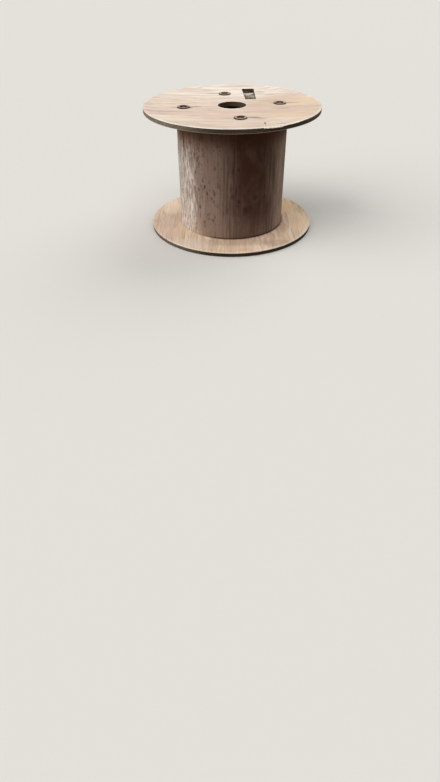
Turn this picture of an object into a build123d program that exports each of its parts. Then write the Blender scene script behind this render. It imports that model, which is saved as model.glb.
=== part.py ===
from build123d import *
import os

# Plywood cable drum of the 500 mm class, standing on its bottom flange.
#
# Two ply flanges are grooved on their inner faces to seat a barrel of bent ply. Four threaded tie
# rods inside the barrel draw the flanges together. Each rod carries a hex nut at both ends, sunk in
# a dished steel washer, so that nothing stands far out of a flange and drums can be stacked.
#
# Millimetres. Z is the spindle axis, X follows the face grain of the flanges, and the origin is the
# centre of the underside.

# Flanges: plywood discs
flange_diameter = 500.0
flange_thickness = 12.0
rim_break = 1.0
spindle_bore = 80.0

# The top flange flares: its rods draw it down inside the barrel, so its rim curls up all round
rim_flare = 3.0
flare_land = 8.0
flare_steps = 3

# Barrel: a sheet of bending ply, rolled to a tube
traverse = 315.0
barrel_diameter = 316.0
barrel_wall = 6.0
groove_depth = 5.0
groove_play = 0.3

# The barrel's butted seam gapes at the top and nearly closes at the bottom
seam_azimuth = -150.0
seam_gap_top = 2.2
seam_gap_bottom = 0.8

# Slot in the top flange, through which the cable's inner end passes from the winding into the barrel.
# Its right side runs square to the grain, and its left side was sawn a little askew.
slot_right_side = 71.0
slot_width_near_rim = 37.0
slot_width_in_barrel = 31.0
slot_rim_land = 53.0
slot_reach_in_barrel = 93.0
slot_corner = 5.0

# Tie rods: M8 threaded rod, set in from the barrel's inner face
rod_count = 4
rod_diameter = 8.0
rod_inset = 15.0
rod_turn = 8.0
rod_overrun = 1.0
rod_chamfer = 0.8

# Dished washers, pressed from sheet
washer_diameter = 35.0
washer_sheet = 2.5
dish_bore = 20.0
dish_depth = 9.5
mouth_bend = 2.0
floor_bend = 1.5
washer_play = 0.5

# Hex nuts
nut_across_flats = 13.0
nut_height = 6.5
nut_chamfer = 0.9
thread_play = 0.1
rod_hole_play = 0.5

# Derived sizes
flange_radius = flange_diameter / 2
barrel_radius = barrel_diameter / 2
barrel_inside = barrel_radius - barrel_wall
body_height = traverse + 2 * flange_thickness
rod_circle = barrel_inside - rod_inset
dish_outside = dish_bore / 2 + washer_sheet
past_the_face = 2.0


def at_each_rod(piece):
    """The same piece at every tie rod, as a list."""
    places = PolarLocations(rod_circle, rod_count, rod_turn)
    return [place * piece for place in places]


def at_the_top(piece, stand_off=0.0):
    """A piece made for the underside, turned over onto the drum's upper face."""
    return Pos(0, 0, body_height + stand_off) * mirror(piece, about=Plane.XY)


def bends(flare):
    """Radius and fall of the points where a flange's faces bend, out to the rim."""
    if flare == 0:
        return [(flange_radius, 0.0)]
    start = barrel_radius + flare_land
    shares = [step / flare_steps for step in range(flare_steps + 1)]
    return [(start + share * (flange_radius - start), flare * share**2) for share in shares]


def flange(flare=0.0):
    """A ply disc with its outer face on z 0, bored for spindle and washers, grooved for the barrel."""
    bore_radius = spindle_bore / 2
    outer_face = [(bore_radius, 0.0)] + [(radius, -fall) for radius, fall in bends(flare)]
    inner_face = [(radius, height + flange_thickness) for radius, height in outer_face]
    section = Polygon(*outer_face, *reversed(inner_face), align=None)
    section = chamfer(section.vertices().sort_by(Axis.X)[-2:], rim_break)
    groove_width = barrel_wall + 2 * groove_play
    groove = Pos(barrel_radius - barrel_wall / 2, flange_thickness - groove_depth / 2) * Rectangle(
        groove_width, groove_depth
    )
    disc = revolve(Plane.XZ * (section - groove), Axis.Z)
    washer_hole = Pos(0, 0, flange_thickness / 2) * Cylinder(
        dish_outside + washer_play / 2, flange_thickness + 2 * past_the_face
    )
    for hole in at_each_rod(washer_hole):
        disc -= hole
    return disc


def bottom_flange():
    """The foot of the drum: its washers are let in flush, so that the drum stands flat."""
    counterbore = Pos(0, 0, washer_sheet / 2) * Cylinder(
        washer_diameter / 2 + washer_play / 2, washer_sheet
    )
    disc = flange()
    for recess in at_each_rod(counterbore):
        disc -= recess
    return disc


def top_flange():
    """The upper flange, flared at its rim, with the cable slot sawn across the barrel's groove."""
    slot_outer_end = flange_radius - slot_rim_land
    slot_inner_end = barrel_radius - slot_reach_in_barrel
    slot = Polygon(
        (slot_right_side - slot_width_in_barrel, slot_inner_end),
        (slot_right_side, slot_inner_end),
        (slot_right_side, slot_outer_end),
        (slot_right_side - slot_width_near_rim, slot_outer_end),
        align=None,
    )
    slot = fillet(slot.vertices(), slot_corner)
    cutter = extrude(slot, flange_thickness + rim_flare + 2 * past_the_face)
    below = body_height - flange_thickness - past_the_face
    return at_the_top(flange(rim_flare)) - Pos(0, 0, below) * cutter


def barrel():
    """The rolled skin, seated in both grooves and open along its butted seam."""
    length = traverse + 2 * groove_depth
    low = flange_thickness - groove_depth
    skin = extrude(Circle(barrel_radius) - Circle(barrel_inside), length)
    gap = Polygon(
        (-seam_gap_bottom / 2, 0),
        (seam_gap_bottom / 2, 0),
        (seam_gap_top / 2, length),
        (-seam_gap_top / 2, length),
        align=None,
    )
    at_inner_face = Plane(origin=(barrel_inside - past_the_face, 0, 0), x_dir=(0, 1, 0), z_dir=(1, 0, 0))
    seam = extrude(at_inner_face * gap, barrel_wall + 2 * past_the_face)
    return Pos(0, 0, low) * (skin - Rot(0, 0, seam_azimuth) * seam)


def dished_washer():
    """A pressed washer, its rim's outer face on z 0 and its dish reaching up into the flange."""
    dish_inside = dish_bore / 2
    rim_edge = washer_diameter / 2
    rod_hole = rod_diameter / 2 + rod_hole_play
    floor_back = dish_depth + washer_sheet
    section = Polygon(
        (dish_inside + mouth_bend, 0),
        (rim_edge, 0),
        (rim_edge, washer_sheet),
        (dish_outside, washer_sheet),
        (dish_outside, floor_back - floor_bend),
        (dish_outside - floor_bend, floor_back),
        (rod_hole, floor_back),
        (rod_hole, dish_depth),
        (dish_inside, dish_depth),
        (dish_inside, mouth_bend),
        align=None,
    )
    return revolve(Plane.XZ * section, Axis.Z)


def hex_nut():
    """A hex nut, chamfered on its outer face, seated against the floor of its washer's dish."""
    bore = rod_diameter + 2 * thread_play
    hexagon = RegularPolygon(nut_across_flats / 2, 6, major_radius=False)
    corner_radius = max(vertex.center().length for vertex in hexagon.vertices())
    blank = extrude(hexagon - Circle(bore / 2), nut_height)
    turned = extrude(Circle(corner_radius), nut_height)
    turned = chamfer(turned.edges().group_by(Axis.Z)[0], nut_chamfer)
    return Pos(0, 0, dish_depth - nut_height) * (blank & turned)


def tie_rod():
    """A threaded rod that stands a little past both nuts, with chamfered ends."""
    low = dish_depth - nut_height - rod_overrun
    high = body_height + washer_sheet - low
    rod = extrude(Circle(rod_diameter / 2), high - low)
    rod = chamfer(rod.edges().filter_by(GeomType.CIRCLE), rod_chamfer)
    return Pos(0, 0, low) * rod


parts = {
    "bottom_flange": bottom_flange(),
    "top_flange": top_flange(),
    "barrel": barrel(),
}
ring_pieces = {
    "tie_rod": tie_rod(),
    "bottom_washer": dished_washer(),
    "bottom_nut": hex_nut(),
    "top_washer": at_the_top(dished_washer(), washer_sheet),
    "top_nut": at_the_top(hex_nut(), washer_sheet),
}
for name, piece in ring_pieces.items():
    for number, placed in enumerate(at_each_rod(piece), start=1):
        parts[f"{name}_{number}"] = placed

os.makedirs("parts", exist_ok=True)
for node, solid in parts.items():
    export_step(solid, f"parts/{node}.step")
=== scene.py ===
"""A plywood cable drum with its fittings, its weathering and the light and view it is shown in.

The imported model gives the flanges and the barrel. This script gives them their finishes, and models the
dished washers, nuts and threaded rods that clamp the drum, the frayed veneer along its edges and the lifted
fibres of its barrel.
"""

import logging
import math
import random
from dataclasses import dataclass, field
from enum import Enum
from typing import Sequence

import bpy
from mathutils import Matrix, Vector

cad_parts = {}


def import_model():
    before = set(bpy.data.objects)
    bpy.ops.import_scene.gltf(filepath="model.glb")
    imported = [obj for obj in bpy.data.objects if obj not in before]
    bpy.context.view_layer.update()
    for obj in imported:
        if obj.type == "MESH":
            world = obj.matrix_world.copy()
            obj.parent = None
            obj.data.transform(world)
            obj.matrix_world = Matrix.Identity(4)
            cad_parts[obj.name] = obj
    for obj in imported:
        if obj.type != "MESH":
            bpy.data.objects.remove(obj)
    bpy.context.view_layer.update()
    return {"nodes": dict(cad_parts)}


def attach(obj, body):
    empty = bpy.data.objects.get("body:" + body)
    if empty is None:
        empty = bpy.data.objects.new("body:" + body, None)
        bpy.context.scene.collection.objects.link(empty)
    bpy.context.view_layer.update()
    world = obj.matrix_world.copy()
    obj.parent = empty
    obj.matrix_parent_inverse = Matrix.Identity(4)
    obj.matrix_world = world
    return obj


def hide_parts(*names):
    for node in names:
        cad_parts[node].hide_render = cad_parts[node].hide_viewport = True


log = logging.getLogger("cable_drum")

MM = 0.001

# Points nearer than this are one point
WELD = 0.004 * MM

Pair = tuple[float, float]
Point = tuple[float, float, float]
Colour = tuple[float, float, float, float]
Piece = bpy.types.Object
Tree = bpy.types.NodeTree
Node = bpy.types.Node
Socket = bpy.types.NodeSocket

# Scales that keep a pattern as it is, and ones that keep only how far it lies out from the drum's axis
EVEN: Point = (1.0, 1.0, 1.0)
LEVEL: Point = (1.0, 1.0, 0.0)

# Lays down along X a strip that was made upright, its broad side flat
LAID_ALONG_X = Matrix(((0, 0, 1, 0), (1, 0, 0, 0), (0, 1, 0, 0), (0, 0, 0, 1)))


# ---------------------------------------------------------------------------------------------------------
# Small tools: colour, nodes and the modelling bench
# ---------------------------------------------------------------------------------------------------------


def linear(code: str) -> Colour:
    """Turns an sRGB hex value into the linear colour that Blender works in.

    Args:
        code: The colour as six hex digits.

    Returns:
        Red, green, blue and an alpha of 1.
    """
    shares = [int(code[i : i + 2], 16) / 255 for i in (0, 2, 4)]
    made = [c / 12.92 if c <= 0.04045 else ((c + 0.055) / 1.055) ** 2.4 for c in shares]
    return (made[0], made[1], made[2], 1.0)


def add_node(tree: Tree, kind: str, settings: dict | None = None, links: dict | None = None) -> Node:
    """Adds one node with its settings and links.

    Args:
        tree: The material's or the world's node tree.
        kind: The node's type, without the words ShaderNode.
        settings: Values for the node's options, or for its inputs by name or number.
        links: The outputs that feed the node's inputs, by the input's name or number.

    Returns:
        The new node.
    """
    node = tree.nodes.new("ShaderNode" + kind)
    for key, value in (settings or {}).items():
        if isinstance(key, str) and hasattr(node, key):
            setattr(node, key, value)
        else:
            node.inputs[key].default_value = value
    for key, output in (links or {}).items():
        tree.links.new(output, node.inputs[key])
    return node


class Bench:
    """The modelling bench: what the edit tools need around them."""

    @staticmethod
    def clear() -> None:
        """Leaves edit mode and deselects everything."""
        if bpy.context.object and bpy.context.object.mode != "OBJECT":
            bpy.ops.object.mode_set(mode="OBJECT")
        bpy.ops.object.select_all(action="DESELECT")

    @staticmethod
    def take(piece: Piece) -> None:
        """Makes a piece the only one selected, and the active one.

        Args:
            piece: The piece to work on next.
        """
        Bench.clear()
        piece.select_set(True)
        bpy.context.view_layer.objects.active = piece

    @staticmethod
    def draw(outline: Sequence[Pair]) -> Piece:
        """Draws an open line in the XZ plane, one extruded point after the other.

        Args:
            outline: The line's points as radius and height, in millimetres.

        Returns:
            The line, in edit mode, all selected.
        """
        Bench.clear()
        x, z = outline[0]
        bpy.ops.mesh.primitive_circle_add(vertices=3, radius=MM, location=(x * MM, 0, z * MM))
        line = bpy.context.object
        bpy.ops.object.mode_set(mode="EDIT")
        bpy.ops.mesh.merge(type="CENTER")
        for here, there in zip(outline, outline[1:]):
            step = ((there[0] - here[0]) * MM, 0, (there[1] - here[1]) * MM)
            bpy.ops.mesh.extrude_region_move(TRANSFORM_OT_translate={"value": step})
        bpy.ops.mesh.select_all(action="SELECT")
        return line

    @staticmethod
    def spin(outline: Sequence[Pair], steps: int) -> Piece:
        """Draws an outline and spins it about the Z axis into a closed turned shape.

        Args:
            outline: A closed line, or one that starts and ends on the axis, in millimetres.
            steps: How many faces go round.

        Returns:
            The turned shape, in object mode, with its place applied.
        """
        piece = Bench.draw(outline)
        bpy.ops.mesh.spin(steps=steps, angle=math.tau, center=(0, 0, 0), axis=(0, 0, 1))
        Bench.weld(piece)
        Bench.settle(piece)
        return piece

    @staticmethod
    def weld(piece: Piece) -> None:
        """Merges a piece's doubled points, drops faces with no area, and turns the others outwards.

        Args:
            piece: The piece to change.
        """
        Bench.take(piece)
        bpy.ops.object.mode_set(mode="EDIT")
        bpy.ops.mesh.select_all(action="SELECT")
        bpy.ops.mesh.remove_doubles(threshold=WELD)
        bpy.ops.mesh.dissolve_degenerate(threshold=WELD)
        bpy.ops.mesh.normals_make_consistent(inside=False)
        bpy.ops.object.mode_set(mode="OBJECT")

    @staticmethod
    def settle(piece: Piece) -> None:
        """Applies a piece's place, turn and scale, so that its object sits at the origin."""
        Bench.take(piece)
        bpy.ops.object.transform_apply(location=True, rotation=True, scale=True)

    @staticmethod
    def apply(piece: Piece, kind: str, **settings: object) -> None:
        """Adds a modifier to a piece and applies it.

        Args:
            piece: The piece to change.
            kind: Blender's name for the modifier.
            settings: Values for the modifier's options.
        """
        Bench.take(piece)
        modifier = piece.modifiers.new(kind.lower(), kind)
        for key, value in settings.items():
            setattr(modifier, key, value)
        bpy.ops.object.modifier_apply(modifier=modifier.name)

    @staticmethod
    def cut(piece: Piece, tool: Piece, operation: str) -> None:
        """Works on a piece with a tool shape by a boolean, and removes the tool.

        Args:
            piece: The piece to change.
            tool: The shape that is cut out of it, or that is all it keeps.
            operation: DIFFERENCE or INTERSECT.
        """
        Bench.apply(piece, "BOOLEAN", object=tool, operation=operation, solver="EXACT")
        bpy.data.objects.remove(tool)
        Bench.weld(piece)

    @staticmethod
    def smooth(piece: Piece, degrees: float) -> None:
        """Shades a piece smooth where its faces meet at less than an angle."""
        Bench.take(piece)
        bpy.ops.object.shade_smooth_by_angle(angle=math.radians(degrees))

    @staticmethod
    def copy(piece: Piece, name: str, place: Matrix) -> Piece:
        """Copies a piece, with a mesh of its own that is moved into place.

        Args:
            piece: The piece to copy.
            name: The copy's name.
            place: Where the copy's mesh goes.

        Returns:
            The copy, whose object sits at the origin.
        """
        made = piece.copy()
        made.data = piece.data.copy()
        made.data.transform(place)
        made.name = made.data.name = name
        bpy.context.scene.collection.objects.link(made)
        return made

    @staticmethod
    def join(pieces: Sequence[Piece], name: str) -> Piece:
        """Joins several pieces into the first of them.

        Args:
            pieces: The pieces to join.
            name: The joined piece's name.

        Returns:
            The joined piece.
        """
        Bench.take(pieces[0])
        for piece in pieces:
            piece.select_set(True)
        bpy.ops.object.join()
        pieces[0].name = pieces[0].data.name = name
        return pieces[0]


# ---------------------------------------------------------------------------------------------------------
# Finishes
# ---------------------------------------------------------------------------------------------------------


class Axis(Enum):
    """The way a sheet's face grain runs."""

    X = (1.0, 0.0, 0.0)
    Y = (0.0, 1.0, 0.0)
    Z = (0.0, 0.0, 1.0)

    def stretched(self, along: float) -> Point:
        """Scales for a pattern that is drawn out along this axis by a factor."""
        return tuple(1 / along if share else 1.0 for share in self.value)


@dataclass(frozen=True)
class Stain:
    """A streak or patch that rust, water or dirt has left on a flange.

    x and y are its middle and half_x and half_y its half sizes, in millimetres. strength is how much it
    hides, and broken is how far the open grain breaks it up.
    """

    x: float
    y: float
    half_x: float
    half_y: float
    strength: float
    tone: str = "6B4A3A"
    broken: float = 0.7


@dataclass(frozen=True)
class Mark:
    """A spot of mould on the barrel.

    azimuth is in degrees and height in millimetres. wide and tall are half sizes, in millimetres.
    """

    azimuth: float
    height: float
    wide: float = 3.0
    tall: float = 5.0
    strength: float = 0.7


@dataclass(frozen=True)
class Rise:
    """A soft step that a mask is made of: it goes from bottom to top while value goes from low to high."""

    value: Socket
    low: float
    high: float
    top: float = 1.0
    bottom: float = 0.0

    @classmethod
    def over(cls, value: Socket, reach: Pair, top: float = 1.0, bottom: float = 0.0) -> "Rise":
        """The step that a length in metres makes over a reach in millimetres."""
        return cls(value, reach[0] * MM, reach[1] * MM, top, bottom)


@dataclass
class Surface:
    """A surface while a finish is laid on it, one tone over the other.

    tree is the material's node tree. place holds the object coordinates, and sheet the ones that patterns
    are drawn on, both in metres. colour is what the tones laid so far give, or a hex value before the first.
    """

    tree: Tree
    place: Socket
    sheet: Socket
    colour: Socket | str

    def pattern(
        self, size: float, scales: Point = EVEN, detail: float = 3.0, shift: Point = (0.0, 0.0, 0.0)
    ) -> Socket:
        """Draws a cloudy pattern whose patches have a real size.

        Args:
            size: The width of a patch, in millimetres.
            scales: How the pattern is squeezed along each axis.
            detail: How many finer layers lie in it.
            shift: Moves the pattern, so that two of them differ.

        Returns:
            The pattern, from 0 to 1.
        """
        settings = {"Scale": scales, "Location": shift}
        mapped = add_node(self.tree, "Mapping", settings, {"Vector": self.sheet}).outputs[0]
        settings = {"Scale": 1 / (size * MM), "Detail": detail, "Roughness": 0.55}
        return add_node(self.tree, "TexNoise", settings, {"Vector": mapped}).outputs[0]

    def mask(self, *parts: Rise | Socket) -> Socket:
        """Works out where several things meet.

        Args:
            parts: Soft steps, and masks that are ready.

        Returns:
            All of them multiplied, as one mask.
        """
        masks = []
        for part in parts:
            if isinstance(part, Rise):
                settings = {
                    "interpolation_type": "SMOOTHSTEP",
                    "From Min": part.low,
                    "From Max": part.high,
                    "To Min": part.bottom,
                    "To Max": part.top,
                }
                part = add_node(self.tree, "MapRange", settings, {"Value": part.value}).outputs[0]
            masks.append(part)
        total = masks[0]
        for other in masks[1:]:
            total = add_node(self.tree, "Math", {"operation": "MULTIPLY"}, {0: total, 1: other}).outputs[0]
        return total

    def lay(self, tone: Socket | str, *parts: Rise | Socket) -> None:
        """Lays a tone over the surface.

        Args:
            tone: The tone, as a hex value or as another surface's colour.
            parts: What makes up the mask of where it lies.
        """
        given = {6: self.colour, 7: tone}
        plain = {key: linear(value) for key, value in given.items() if isinstance(value, str)}
        wired = {key: value for key, value in given.items() if key not in plain}
        wired[0] = self.mask(*parts)
        self.colour = add_node(self.tree, "Mix", {"data_type": "RGBA", **plain}, wired).outputs[2]

    def spot(
        self, middle: Point, half: Point, ragged: Socket, strength: float, softness: float = 0.4
    ) -> Rise:
        """Marks out an oval with a ragged outline.

        Args:
            middle: Its middle, in millimetres.
            half: Its half sizes, in millimetres.
            ragged: The pattern that tears its outline.
            strength: The mask's value in its middle.
            softness: How wide its edge is, as a share of its half size.

        Returns:
            The step that it makes.
        """
        settings = {"operation": "SUBTRACT", 1: [v * MM for v in middle]}
        away = add_node(self.tree, "VectorMath", settings, {0: self.sheet})
        settings = {"operation": "MULTIPLY", 1: [1 / (v * MM) for v in half]}
        scaled = add_node(self.tree, "VectorMath", settings, {0: away.outputs[0]})
        length = add_node(self.tree, "VectorMath", {"operation": "LENGTH"}, {0: scaled.outputs[0]})
        links = {0: length.outputs["Value"], 1: ragged}
        torn = add_node(self.tree, "Math", {"operation": "ADD"}, links).outputs[0]

        # The oval ends at a length of one, to which the ragged pattern adds a half on the average
        outline = 1.5
        return Rise(torn, outline + softness, outline - softness, strength)

    def radius(self) -> Socket:
        """Measures how far a point lies from the drum's axis.

        Returns:
            The distance, in metres.
        """
        flat = add_node(self.tree, "VectorMath", {"operation": "MULTIPLY", 1: LEVEL}, {0: self.place})
        length = add_node(self.tree, "VectorMath", {"operation": "LENGTH"}, {0: flat.outputs[0]})
        return length.outputs["Value"]

    def toward(self, azimuth: float, low: float, high: float, wavering: Socket | None = None) -> Rise:
        """Marks out one side of the drum.

        Args:
            azimuth: The side's direction, in degrees.
            low: The cosine of the angle from it where the mask starts.
            high: The cosine where the mask is full.
            wavering: What is added to the cosine, so that the mask's sides follow the strands.

        Returns:
            The step that it makes.
        """
        flat = add_node(self.tree, "VectorMath", {"operation": "MULTIPLY", 1: LEVEL}, {0: self.place})
        unit = add_node(self.tree, "VectorMath", {"operation": "NORMALIZE"}, {0: flat.outputs[0]})
        way = (math.cos(math.radians(azimuth)), math.sin(math.radians(azimuth)), 0.0)
        settings = {"operation": "DOT_PRODUCT", 1: way}
        cosine = add_node(self.tree, "VectorMath", settings, {0: unit.outputs[0]}).outputs["Value"]
        if wavering:
            cosine = add_node(self.tree, "Math", {"operation": "ADD"}, {0: cosine, 1: wavering}).outputs[0]
        return Rise(cosine, low, high)

    def join_to(self, shader: Node, relief: Socket, strength: float, depth: float) -> None:
        """Joins the colour and a relief to a material's shader.

        Args:
            shader: The material's surface shader.
            relief: The pattern that stands up.
            strength: How strongly it shows.
            depth: How high it stands, in millimetres.
        """
        settings = {"Strength": strength, "Distance": depth * MM}
        bump = add_node(self.tree, "Bump", settings, {"Height": relief})
        self.tree.links.new(bump.outputs[0], shader.inputs["Normal"])
        self.tree.links.new(self.colour, shader.inputs["Base Color"])


def seen_directly(tree: Tree) -> Socket:
    """Tells rays that look at a surface from rays that carry its light on to something else.

    Args:
        tree: The material's or the world's node tree.

    Returns:
        One for a look, be it straight, by a mirror or through glass, and nought for light.
    """
    rays = add_node(tree, "LightPath").outputs
    links = {0: rays["Is Camera Ray"], 1: rays["Is Glossy Ray"]}
    seen = add_node(tree, "Math", {"operation": "MAXIMUM"}, links).outputs[0]
    links = {0: seen, 1: rays["Is Transmission Ray"]}
    return add_node(tree, "Math", {"operation": "MAXIMUM"}, links).outputs[0]


@dataclass(frozen=True)
class Finish:
    """A finish: one real material, built as shader nodes."""

    name: str

    def material(self) -> bpy.types.Material:
        """Builds the finish as a material.

        Returns:
            The material.
        """
        made = bpy.data.materials.new(self.name)
        made.use_nodes = True
        self.dress(made.node_tree, made.node_tree.nodes["Principled BSDF"])
        return made

    def dress(self, tree: Tree, shader: Node) -> None:
        """Fills a material's node tree.

        Args:
            tree: The material's node tree.
            shader: Its surface shader.
        """
        raise NotImplementedError


@dataclass(frozen=True)
class FacedPly(Finish):
    """Softwood plywood with a rotary cut face, left outdoors unfinished.

    The face veneer gives broad pale figure with fine lines along the grain. Sawn edges and holes show the
    layers, which take up dirt and turn a dark grey brown long before the faces do. Lengths are in
    millimetres and azimuths in degrees. A reach runs from where a tone starts to where it is full.
    """

    # The clean face
    grain: Axis = Axis.X
    pale: str = "ECDDCC"
    blush: str = "E2CEC1"
    honey: str = "E6D2B0"
    shade: str = "CDB39F"
    line: str = "94705A"
    ring_spacing: float = 20.0
    ring_wander: float = 6.0

    # Real fibres are some hundredths of a millimetre wide, and are drawn this coarse so that they show
    fibre: float = 1.6

    # The sawn edges, and those of the holes, which the weather reaches less and which are darkened as
    # painted shade
    edge_light: str = "5F4F3D"
    edge_dark: str = "30231A"
    glue: str = "231B15"
    rain_washed: str = "968C77"
    washed_azimuth: float = -158.0
    sheltered_and_shaded: str = "6B5843"
    hole_reach: Pair = (235.0, 205.0)
    layers: int = 7
    thickness: float = 12.0

    # Broad tones beneath the figure, and stains over it
    face_height: float = 339.0
    weather: tuple[Stain, ...] = ()
    stains: tuple[Stain, ...] = ()
    stain_depth: float = 8.0

    # Rust that the washers have left, and a painted shadow on their near side, measured from each bolt
    rust: str = "493325"
    bolt_circle: float = 137.0
    bolt_azimuth: float = 8.0
    rust_and_shadow_reach: Pair = (23.5, 19.5)
    rust_runs: float = 3.5

    # Corners paled at the rim and the bore: partly abrasion, partly a painted highlight, most towards the
    # front
    worn_and_highlit: str = "F7F0E2"
    wear_and_highlight: float = 0.9
    rim_reach: Pair = (243.5, 250.5)
    bore_reach: Pair = (48.5, 44.5)
    highlight_azimuth: float = -78.0
    unevenness: float = 6.0

    # Painted shade in the corner round the barrel's foot, on the lower flange, weakest on the lit side
    shade_reach: Pair | None = None
    lit_side_azimuth: float = -160.0

    def dress(self, tree: Tree, shader: Node) -> None:
        """Fills the tree: face veneer, layered edges, stains and relief.

        Args:
            tree: The material's node tree.
            shader: Its surface shader.
        """
        space = add_node(tree, "TexCoord")
        place = space.outputs["Object"]
        upward = add_node(tree, "SeparateXYZ", links={0: space.outputs["Normal"]}).outputs[2]
        flat = add_node(tree, "Math", {"operation": "ABSOLUTE"}, {0: upward}).outputs[0]

        face = Surface(tree, place, place, self.pale)
        self.veneer(face)
        self.weathering(face, Rise(upward, 0.3, 0.6))
        edge = Surface(tree, place, place, self.edge_dark)
        layers = self.layered_edge(edge)
        is_face = edge.mask(Rise(flat, 0.4, 0.65))
        edge.lay(face.colour, is_face)

        fibre = face.pattern(self.fibre, self.grain.stretched(30.0), 4.0)
        relief = add_node(tree, "Mix", {"data_type": "RGBA"}, {0: is_face, 6: layers, 7: fibre}).outputs[2]
        edge.join_to(shader, relief, strength=0.5, depth=0.4)
        shader.inputs["Roughness"].default_value = 0.82
        shader.inputs["Specular IOR Level"].default_value = 0.25

    def veneer(self, face: Surface) -> None:
        """Lays the clean face: broad tones, rings, bands, fine lines and short checks along the grain.

        Args:
            face: The flange's face.
        """
        broad = face.pattern(95.0, self.grain.stretched(2.2), 2.0)
        face.lay(self.blush, Rise(broad, 0.4, 0.6))
        sunned = face.pattern(120.0, self.grain.stretched(1.6), 1.0, (9.0, 4.0, 1.0))
        face.lay(self.honey, Rise(sunned, 0.5, 0.7, 0.35))
        self.stain(face, self.weather)
        self.ring(face)
        for tone, size, along, low, high, share, shift in (
            (self.shade, 26.0, 9.0, 0.48, 0.66, 0.42, (3.0, 1.0, 0.0)),
            (self.shade, 13.0, 15.0, 0.5, 0.62, 0.4, (7.0, 5.0, 3.0)),
            (self.line, 3.2, 45.0, 0.53, 0.75, 0.5, (0.0, 7.0, 2.0)),
            (self.line, 8.0, 26.0, 0.66, 0.74, 0.5, (5.0, 2.0, 0.0)),
        ):
            streaks = face.pattern(size, self.grain.stretched(along), 2.0, shift)
            face.lay(tone, Rise(streaks, low, high, share))

    def ring(self, face: Surface) -> None:
        """Lays the late wood of the growth rings, which the peeling knife opens into lines that wander.

        Args:
            face: The flange's face.
        """
        tree = face.tree
        axes = add_node(tree, "SeparateXYZ", links={0: face.place})
        across = axes.outputs[1 if self.grain is Axis.X else 0]
        settings = {"operation": "DIVIDE", 1: self.ring_spacing * MM}
        rings = add_node(tree, "Math", settings, {0: across}).outputs[0]
        wander = face.pattern(60.0, self.grain.stretched(3.2), 2.0, (4.0, 8.0, 0.0))
        settings = {"operation": "MULTIPLY", 1: self.ring_wander}
        wander = add_node(tree, "Math", settings, {0: wander}).outputs[0]
        rings = add_node(tree, "Math", {"operation": "ADD"}, {0: rings, 1: wander}).outputs[0]
        wave = add_node(tree, "Math", {"operation": "PINGPONG", 1: 0.5}, {0: rings}).outputs[0]
        shown = face.pattern(80.0, self.grain.stretched(2.0), 2.0, (1.0, 6.0, 2.0))
        face.lay(self.shade, Rise(wave, 0.26, 0.5), Rise(shown, 0.36, 0.6, 0.7, 0.2))

    def stain(self, face: Surface, stains: Sequence[Stain]) -> None:
        """Lays streaks and patches over the face.

        Args:
            face: The flange's face.
            stains: The streaks and patches, in order.
        """
        ragged = face.pattern(6.0, self.grain.stretched(7.0), 3.0, (1.0, 9.0, 4.0))
        streaks = face.pattern(2.6, self.grain.stretched(14.0), 3.0, (3.0, 3.0, 8.0))
        for stain in stains:
            middle = (stain.x, stain.y, self.face_height)
            half = (stain.half_x, stain.half_y, self.stain_depth)
            where = [face.spot(middle, half, ragged, stain.strength)]
            if stain.broken:
                where.append(Rise(streaks, 0.36, 0.58, 1.0, 1.0 - stain.broken))
            face.lay(stain.tone, *where)

    def weathering(self, face: Surface, skyward: Rise) -> None:
        """Lays stains, rust and painted shadow at the washers, abraded edges with painted highlight, and
        painted shade round the barrel.

        Args:
            face: The flange's face.
            skyward: Full where the face looks up, and so where the weather reaches it.
        """
        tree = face.tree
        self.stain(face, self.stains)
        ragged = face.pattern(6.0, self.grain.stretched(3.0), 3.0, (1.0, 9.0, 4.0))
        settings = {"operation": "MULTIPLY", 1: self.unevenness * MM}
        slack = add_node(tree, "Math", settings, {0: ragged}).outputs[0]

        links = {0: self.from_bolt(face), 1: slack}
        by_washer = add_node(tree, "Math", {"operation": "ADD"}, links).outputs[0]
        # Rust round each washer, and a painted shadow where the ring leans to its near side
        face.lay(self.rust, Rise.over(by_washer, self.rust_and_shadow_reach, 0.88))

        uneven = add_node(tree, "Math", {"operation": "ADD"}, {0: face.radius(), 1: slack}).outputs[0]
        patchy = face.pattern(70.0, detail=2.0)
        patchy = Rise(patchy, 0.4, 0.62, self.wear_and_highlight, self.wear_and_highlight * 0.35)
        toward_highlight = face.mask(face.toward(self.highlight_azimuth, 0.0, 0.8))
        pale_arris = face.mask(patchy, skyward, Rise(toward_highlight, 0.0, 1.0, 1.0, 0.35))
        # Pale corners: abrasion, and a painted highlight along the arris
        for reach in (self.rim_reach, self.bore_reach):
            face.lay(self.worn_and_highlit, Rise.over(uneven, reach), pale_arris)
        # Painted shade in the corner round the barrel's foot, weakest on the lit side
        if self.shade_reach:
            lit_side = face.mask(face.toward(self.lit_side_azimuth, 0.5, 0.9))
            ring = Rise.over(uneven, self.shade_reach, 0.6)
            face.lay(self.edge_dark, ring, Rise(lit_side, 0.0, 1.0, 0.1, 1.0))

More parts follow.
